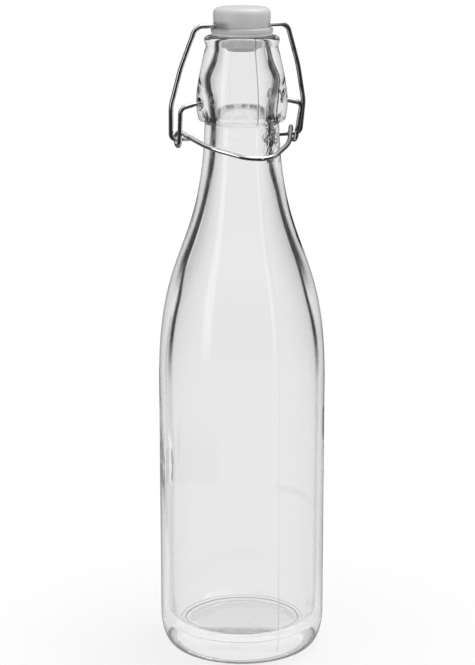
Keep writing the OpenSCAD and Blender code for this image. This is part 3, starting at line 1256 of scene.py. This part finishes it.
    def _mark_inside(self, piece: bpy.types.Object) -> None:
        """Gives the faces of the inside the inner face's material.

        Args:
            piece: The turned bottle.
        """
        outside = self._outside()[self.punt_steps + 1:]
        rim_r = (self.lip_r + self.mouth_r) / 2
        floor_low = self.floor_t * self.floor_low_share

        def outer_r(z: float) -> float:
            """Finds the outside radius.

            Args:
                z: Height in millimetres.

            Returns:
                The radius in millimetres at that height.
            """
            for low, high in zip(outside, outside[1:]):
                if low[1] <= z <= high[1] and high[1] > low[1]:
                    return low[0] + (high[0] - low[0]) * (z - low[1]) / (high[1] - low[1])
            return self.lip_r

        for face in piece.data.polygons:
            z = face.center.z / MM
            r = math.hypot(face.center.x, face.center.y) / MM
            limit = rim_r if z > self.top - self.lip_h else outer_r(z) - self.body_wall / 2
            inner = z > floor_low and r < limit
            face.material_index = (GlassSide.INSIDE if inner else GlassSide.OUTSIDE).value

    def _dimple_cutter(self, side: int) -> bpy.types.Object:
        """Makes the solid that one dimple takes out of the glass.

        Args:
            side: 1 for the +X side and -1 for the other.

        Returns:
            The solid.
        """
        bottom = (self.dimple_r, self.pin_hole_r * self.pin_hole_share)
        profile = [(self.dimple_r, 0.0), bottom, *bezier([bottom, *self.dimple_flare], 14, 1)]
        profile += [self.dimple_mouth, (self.dimple_mouth[0], 0.0)]
        profile = [(side * x, r) for x, r in profile]
        return cross_solid("dimple_cutter", profile, self.head_from + self.pivot_up)

    def build(self) -> bpy.types.Object:
        """Builds and dresses the bottle, and puts it in the place of its drawn solid.

        Returns:
            The bottle.
        """
        outline = upright_outline(self._outside() + self._inside())
        outline[0].x = outline[-1].x = 0.0
        piece = turned("bottle", outline, self.turn_steps)
        for side in GlassSide:
            piece.data.materials.append(self.glass.material(side))
        self._mark_inside(piece)
        for side in (1, -1):
            cut_away(piece, self._dimple_cutter(side))
        return settle(piece, "bottle", "bottle_glass")


@dataclass
class Wire:
    """A symmetric bent wire, by the corners and bend radii of its +X half, from the middle."""

    name: str
    corners: tuple[Place, ...]
    radii: tuple[float, ...]
    wire_r: float = 0.95
    plating: PlatedWire = field(default_factory=PlatedWire)

    def build(self) -> bpy.types.Object:
        """Bends and plates the wire, and puts it in the place of its drawn solid.

        Returns:
            The wire.
        """
        corners = both_sides([Vector(p) * MM for p in self.corners])
        radii = [r * MM for r in (*reversed(self.radii), *self.radii)]
        piece = bent_wire(self.name, corners, radii, self.wire_r * MM)
        piece.data.materials.append(self.plating.material(self.name))
        return settle(piece, self.name, f"{self.name}_wire")


@dataclass
class Lever(Wire):
    """The lower wire: the handle round the front, an eye on each side and pins in the dimples."""

    name: str = "lever"
    # The handle's middle and its two corners, the eye's top and two low corners, the leg's top, and the
    # bend and end of the pin.
    corners: tuple[Place, ...] = (
        (0.0, -21.1, 207.8),
        (4.731, -21.1, 207.8),
        (17.43, -7.81, 211.344),
        (24.9, 8.9, 216.663),
        (24.9, 8.9, 210.6),
        (25.0, 4.324, 210.6),
        (25.9, 0.0, 226.2),
        (19.6, 0.0, 227.7),
        (15.2, 0.0, 227.7),
    )
    radii: tuple[float, ...] = (10.5, 30.0, 2.6, 2.6, 2.6, 2.6, 2.6)


@dataclass
class Bail(Wire):
    """The upper wire: through the stopper, down both sides and into the lever's eyes."""

    name: str = "bail"
    # The middle and end of the top, the side's two bends, and the bend and end of the pin in the eye.
    corners: tuple[Place, ...] = (
        (0.0, 0.0, 258.1),
        (19.3, 0.0, 258.1),
        (25.03, 2.331, 241.49),
        (28.4, 4.41, 226.67),
        (27.8, 6.3, 213.2),
        (18.0, 6.3, 213.2),
    )
    radii: tuple[float, ...] = (4.0, 40.0, 14.0, 2.4)


@dataclass
class Seated:
    """A turned piece that sits in the mouth, with what the stopper and its seal share."""

    lip_z: float = Bottle().top
    seal_h: float = 1.3
    plug_depth: float = 4.1
    turn_steps: int = 128
    smooth_angle: float = 40

    def _turn(self, name: str, outline: list[Point]) -> bpy.types.Object:
        """Returns the solid of an outline of radius and height in millimetres."""
        return turned(name, upright_outline(outline), self.turn_steps, smooth_angle=self.smooth_angle)


@dataclass
class Stopper(Seated):
    """The white stopper: a drum on a flange, and a stem with a bead below."""

    hole_up: float = 4.0
    hole_r: float = 1.02
    hole_overrun: float = 1.0
    drum_r: float = 11.45
    drum_low_r: float = 11.0
    drum_h: float = 8.4
    drum_round: float = 2.6
    drum_crown: float = 0.4
    drum_fillet: float = 0.35
    flange_r: float = 12.35
    flange_t: float = 1.8
    flange_round: float = 0.5
    flange_edge: float = 0.2
    stem_r: float = 5.6
    bead_r: float = 6.3
    bead_h: float = 2.4
    side_steps: int = 10
    crown_steps: int = 6
    plastic: WhiteMoulding = field(default_factory=WhiteMoulding)

    def _drum(self, low_z: float) -> list[Point]:
        """Draws the drum, which widens a little upwards and has a crowned top.

        Args:
            low_z: Height of its foot.

        Returns:
            Its points, from the fillet at its foot to the top's middle.
        """
        fillet = (self.drum_low_r + self.drum_fillet, low_z + self.drum_fillet)
        side_h = self.drum_h - self.drum_round - self.drum_crown
        flat_r = self.drum_r - self.drum_round
        turns = [i / self.side_steps for i in range(1, self.side_steps)]
        widening = self.drum_r - self.drum_low_r
        crown = [i / self.crown_steps for i in reversed(range(self.crown_steps))]
        return (
            [(fillet[0], low_z)]
            + arc(fillet, self.drum_fillet, self.drum_fillet, -90, -180, 5, 1)
            + [(self.drum_low_r + widening * math.sin(math.pi / 2 * t), low_z + side_h * t) for t in turns]
            + arc((flat_r, low_z + side_h), self.drum_round, self.drum_round, 0, 90, 12)
            + [(flat_r * t, low_z + self.drum_h - self.drum_crown * t**2) for t in crown]
        )

    def _outline(self) -> list[Point]:
        """Draws the stopper's outline.

        Returns:
            Its points, from the bead's underside to the drum's top.
        """
        bead_z = self.lip_z - self.plug_depth - self.bead_h
        half = self.bead_h / 2
        middle = bead_z + half
        flange_z = self.lip_z + self.seal_h
        drum_z = flange_z + self.flange_t
        rim = (self.flange_r - self.flange_round, drum_z - self.flange_round)
        return (
            [(0.0, bead_z)]
            + arc((self.bead_r - half, middle), half, half, -90, 0)
            + arc((self.stem_r, middle), self.bead_r - self.stem_r, half, 0, 90, 8, 1)
            + [(self.stem_r, flange_z), (self.flange_r - self.flange_edge, flange_z)]
            + [(self.flange_r, flange_z + self.flange_edge)]
            + arc(rim, self.flange_round, self.flange_round, 0, 90)
            + self._drum(drum_z)
        )

    def build(self) -> bpy.types.Object:
        """Turns the stopper, pierces it for the bail, dresses it and puts it in place.

        Returns:
            The stopper.
        """
        piece = self._turn("stopper_moulding", self._outline())
        reach = self.flange_r + self.hole_overrun
        hole = [(-reach, 0.0), (-reach, self.hole_r), (reach, self.hole_r), (reach, 0.0)]
        cut_away(piece, cross_solid("hole_cutter", hole, self.lip_z + self.hole_up))
        piece.data.materials.append(self.plastic.material())
        return settle(piece, "stopper", "stopper")


@dataclass
class Gasket(Seated):
    """The seal on the stopper's stem: a washer over the lip and a plug in the mouth."""

    seal_gap: float = 0.15
    washer_r: float = 12.1
    washer_round: float = 0.35
    plug_top_r: float = 8.8
    plug_low_r: float = 7.8
    plug_round: float = 0.4
    bore_r: float = 5.65
    rubber: PaleRubber = field(default_factory=PaleRubber)

    def _outline(self) -> list[Point]:
        """Draws the closed outline of one side.

        Returns:
            Its points, from the bore's lower end and back to it.
        """
        low = self.lip_z - self.plug_depth
        washer_z = self.lip_z + self.seal_gap
        top = self.lip_z + self.seal_h
        out = self.washer_r - self.washer_round
        rounding, tip = self.washer_round, self.plug_round
        return (
            [(self.bore_r, low)]
            + arc((self.plug_low_r - tip, low + tip), tip, tip, -90, -10, 4)
            + [(self.plug_top_r, washer_z)]
            + arc((out, washer_z + rounding), rounding, rounding, -90, 0)
            + arc((out, top - rounding), rounding, rounding, 0, 90)
            + [(self.bore_r, top), (self.bore_r, low)]
        )

    def build(self) -> bpy.types.Object:
        """Turns the gasket, dresses it and puts it in place.

        Returns:
            The gasket.
        """
        piece = self._turn("seal_ring", self._outline())
        piece.data.materials.append(self.rubber.material())
        return settle(piece, "stopper", "gasket")


# Studio


@dataclass(frozen=True)
class Lamp:
    """A soft square lamp that points at the bottle, by its turn in degrees from the handle's side."""

    name: str
    turn: float
    away: float
    height: float
    size: float
    power: float


@dataclass(frozen=True)
class Panel:
    """A glowing panel that stands on the table, by its turn in degrees from the handle's side."""

    name: str
    turn: float
    away: float
    width: float
    height: float
    strength: float


@dataclass
class Studio:
    """White table, soft lamp, panels for the reflections, and the camera."""

    camera_away: float = 805.2 * MM
    camera_height: float = 326.8 * MM
    camera_dip: float = math.radians(13.52)
    lens: float = 73.01
    sensor: float = 24.0
    # 4.4 of the picture's 665 rows of pixels.
    side_shift: float = -4.4 / 665
    clip_from: float = 10 * MM
    room_light: float = 0.55
    mirror_front: float = 0.03
    mirror_side: float = 0.33
    mirror_back: float = 0.08
    front_to_side: Step = (-0.1, 0.25)
    side_to_back: Step = (0.3, 0.7)
    ceiling: float = 0.9
    ceiling_edge: Step = (0.3, 0.75)
    table_size: float = 6.0
    table_z: float = -0.05 * MM
    table_colour: Colour = (0.86, 0.86, 0.86)
    shadow_reach: Step = (0.14, 0.03)
    shadow_share: float = 0.22
    nearly_zero: float = 1e-6
    lamp_aim: float = 0.16
    panel_across: tuple[Step, Step] = ((0.0, 0.45), (1.0, 0.75))
    panel_up: tuple[Step, Step] = ((0.0, 0.2), (1.0, 0.7))
    panels: tuple[Panel, ...] = (
        Panel("left_panel", turn=-72, away=0.6, width=0.22, height=0.9, strength=2.0),
        Panel("right_panel", turn=24, away=0.55, width=0.06, height=0.9, strength=1.6),
    )
    lamp: Lamp = Lamp("top_lamp", turn=100, away=0.4, height=1.3, size=0.8, power=8.0)

    def _toward(self, turn: float, away: float, height: float) -> Vector:
        """Returns a place round the bottle, by its turn from the handle's side."""
        return Vector((away * math.sin(turn), -away * math.cos(turn), height))

    def _level(self, x: Socket, y: Socket) -> Socket:
        """Returns the length of the two level parts of a place or direction, never quite 0."""
        return (x * x + y * y + self.nearly_zero).root()

    def _reflected(self, x: Socket, y: Socket) -> Socket:
        """Finds how bright the room looks in a mirror, darkest on the photographed side.

        Args:
            x: First level part of a place or direction.
            y: Its second level part.

        Returns:
            The brightness.
        """
        behind = (x * -math.sin(PHOTO_TURN) + y * math.cos(PHOTO_TURN)) / self._level(x, y)
        front = behind.step(*self.front_to_side).between(self.mirror_front, self.mirror_side)
        return front + (self.mirror_back - self.mirror_side) * behind.step(*self.side_to_back)

    def add_camera(self) -> None:
        """Puts the camera where the picture was taken."""
        data = bpy.data.cameras.new("camera")
        data.sensor_fit = "VERTICAL"
        data.sensor_height = self.sensor
        data.lens = self.lens
        data.shift_x = self.side_shift
        data.clip_start = self.clip_from
        data.dof.use_dof = False
        camera = bpy.data.objects.new("camera", data)
        camera.location = self._toward(PHOTO_TURN, self.camera_away, self.camera_height)
        camera.rotation_euler = (math.pi / 2 - self.camera_dip, 0.0, PHOTO_TURN)
        bpy.context.scene.collection.objects.link(camera)
        bpy.context.scene.camera = camera

    def add_table(self) -> None:
        """Lays the white table, which keeps a soft shadow."""
        deselect()
        bpy.ops.mesh.primitive_plane_add(size=self.table_size, location=(0, 0, self.table_z))
        table = bpy.context.object
        table.name = "table"
        made = bpy.data.materials.new("white_table")
        net = Net(made)
        path = net.node("LightPath")
        seen = Socket(net, path.outputs["Is Camera Ray"])
        through = Socket(net, path.outputs["Is Transmission Ray"])
        mirrored = Socket(net, path.outputs["Is Glossy Ray"]) * (1 - through)
        x, y, _ = net.axes(net.place())
        near = self._level(x, y).step(*self.shadow_reach)
        cloth = net.value("BsdfDiffuse", sockets={"Color": self.table_colour})
        dimmed = mirrored * (1 - self._reflected(x, y))
        glow = net.value("MixShader", sockets={0: dimmed, 1: net.glow(1.0)})
        share = seen * (1 - self.shadow_share * near) + through + mirrored
        net.surface(net.mixed(share, cloth, glow))
        table.data.materials.append(made)

    def add_world(self) -> None:
        """Lights the room softly: white to the camera and through glass, and dimmer in mirrors."""
        world = bpy.data.worlds.new("room")
        bpy.context.scene.world = world
        net = Net(world)
        x, y, z = net.axes(net.value("TexCoord", out="Generated"))
        path = net.node("LightPath")
        mirrored = Socket(net, path.outputs["Is Glossy Ray"])
        through = Socket(net, path.outputs["Is Transmission Ray"])
        clear = Socket(net, path.outputs["Is Camera Ray"]).greatest(through)
        seen = z.step(*self.ceiling_edge).between(self._reflected(x, y), self.ceiling)
        strength = clear.between(mirrored.between(self.room_light, seen), 1.0)
        net.surface(net.value("Background", sockets={"Color": (1, 1, 1), "Strength": strength}))

    def add_lamp(self, lamp: Lamp) -> None:
        """Hangs a soft lamp.

        Args:
            lamp: The lamp.
        """
        data = bpy.data.lights.new(lamp.name, "AREA")
        data.shape = "RECTANGLE"
        data.size = data.size_y = lamp.size
        data.energy = lamp.power
        data.specular_factor = 0.0
        hung = bpy.data.objects.new(lamp.name, data)
        hung.location = self._toward(math.radians(lamp.turn), lamp.away, lamp.height)
        hung.rotation_euler = (UPRIGHT * self.lamp_aim - hung.location).to_track_quat("-Z", "Y").to_euler()
        bpy.context.scene.collection.objects.link(hung)

    def add_panel(self, panel: Panel) -> None:
        """Stands a glowing panel with soft edges on the table, which only reflections show.

        Args:
            panel: The panel.
        """
        deselect()
        angle = math.radians(panel.turn)
        place = self._toward(angle, panel.away, panel.height / 2)
        bpy.ops.mesh.primitive_plane_add(size=1.0, location=place, rotation=(math.pi / 2, 0.0, angle))
        stood = bpy.context.object
        stood.name = panel.name
        stood.scale = (panel.width, panel.height, 1.0)
        bpy.ops.object.transform_apply(location=True, rotation=True, scale=True)
        made = bpy.data.materials.new(panel.name)
        net = Net(made)
        across, up, _ = net.axes(net.value("TexCoord", out="UV"))
        left, right = (across.step(*fade) for fade in self.panel_across)
        low, high = (up.step(*fade) for fade in self.panel_up)
        share = left * right * low * high
        net.surface(net.value("MixShader", sockets={0: share, 2: net.glow(panel.strength)}))
        stood.data.materials.append(made)
        stood.visible_camera = stood.visible_transmission = stood.visible_shadow = False

    def build(self) -> None:
        """Sets up the whole studio."""
        bpy.context.scene.view_settings.view_transform = "Standard"
        self.add_camera()
        self.add_table()
        self.add_world()
        for panel in self.panels:
            self.add_panel(panel)
        self.add_lamp(self.lamp)


def main() -> None:
    """Builds the studio and every piece."""
    logging.basicConfig(level=logging.INFO, format="%(name)s: %(message)s")
    builders: list[tuple[str, Callable[[], object]]] = [
        ("studio", Studio().build),
        ("bottle", Bottle().build),
        ("lever", Lever().build),
        ("bail", Bail().build),
        ("stopper", Stopper().build),
        ("gasket", Gasket().build),
    ]
    for name, build in builders:
        piece = build()
        faces = len(piece.data.polygons) if piece else 0
        logger.info("%s built, %d faces", name, faces)


if __name__ == "__main__":
    main()
